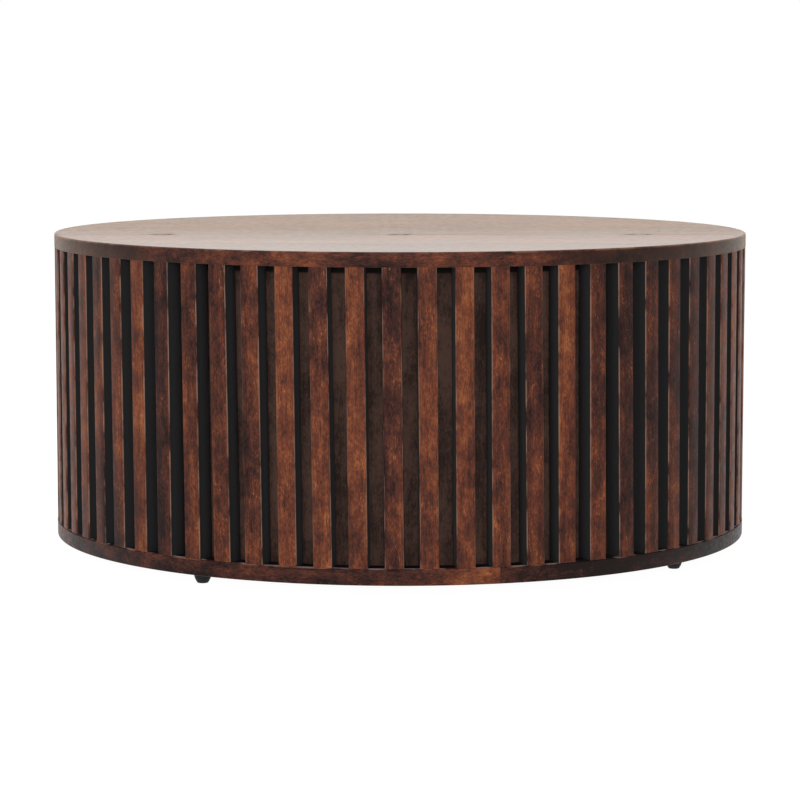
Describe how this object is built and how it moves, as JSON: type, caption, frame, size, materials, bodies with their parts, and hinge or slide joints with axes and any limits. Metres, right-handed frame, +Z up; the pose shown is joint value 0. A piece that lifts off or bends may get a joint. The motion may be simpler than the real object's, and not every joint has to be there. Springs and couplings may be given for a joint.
{
  "type": "drum coffee table",
  "caption": "Low round table like a drum: a plank top over a ring of upright wooden slats on a closed inner wall, with a bottom ring and small round feet.",
  "frame": {"origin": "on the floor, under the middle of the round top", "axes": "+Z up, -Y towards the front that the picture shows, +X to its right"},
  "size_m": [0.9, 0.9, 0.407],
  "materials": {
    "top_wood": "chestnut stain, satin lacquer",
    "slat_wood": "mottled chestnut stain, satin lacquer",
    "ring_wood": "dark chestnut stain, satin lacquer",
    "panel_wood": "bent plywood, dark stain",
    "frame_wood": "planed, unfinished",
    "tongue_wood": "birch plywood",
    "foot_rubber": "black, matt",
    "screw_steel": "zinc plated"
  },
  "bodies": {
    "root": {"backing_panel_1": "panel_wood", "backing_panel_2": "panel_wood", "backing_panel_3": "panel_wood", "backing_panel_4": "panel_wood", "backing_panel_5": "panel_wood", "backing_panel_6": "panel_wood", "batten_screws": "screw_steel", "bottom_ring_segment_1": "ring_wood", "bottom_ring_segment_2": "ring_wood", "bottom_ring_segment_3": "ring_wood", "bottom_ring_segment_4": "ring_wood", "bottom_ring_segment_5": "ring_wood", "bottom_ring_segment_6": "ring_wood", "feet": "foot_rubber", "foot_screws": "screw_steel", "slats_1": "slat_wood", "slats_2": "slat_wood", "slats_3": "slat_wood", "slats_4": "slat_wood", "slats_5": "slat_wood", "slats_6": "slat_wood", "top_batten_left": "frame_wood", "top_batten_right": "frame_wood", "top_plank_back": "top_wood", "top_plank_back_middle": "top_wood", "top_plank_front": "top_wood", "top_plank_front_middle": "top_wood", "top_plank_middle": "top_wood", "top_ring_screws": "screw_steel", "top_tongues": "tongue_wood", "upper_ring_segment_1": "frame_wood", "upper_ring_segment_2": "frame_wood", "upper_ring_segment_3": "frame_wood", "upper_ring_segment_4": "frame_wood", "upper_ring_segment_5": "frame_wood", "upper_ring_segment_6": "frame_wood", "upright_1": "frame_wood", "upright_2": "frame_wood", "upright_3": "frame_wood", "upright_4": "frame_wood", "upright_5": "frame_wood", "upright_6": "frame_wood"}
  },
  "joints": []
}
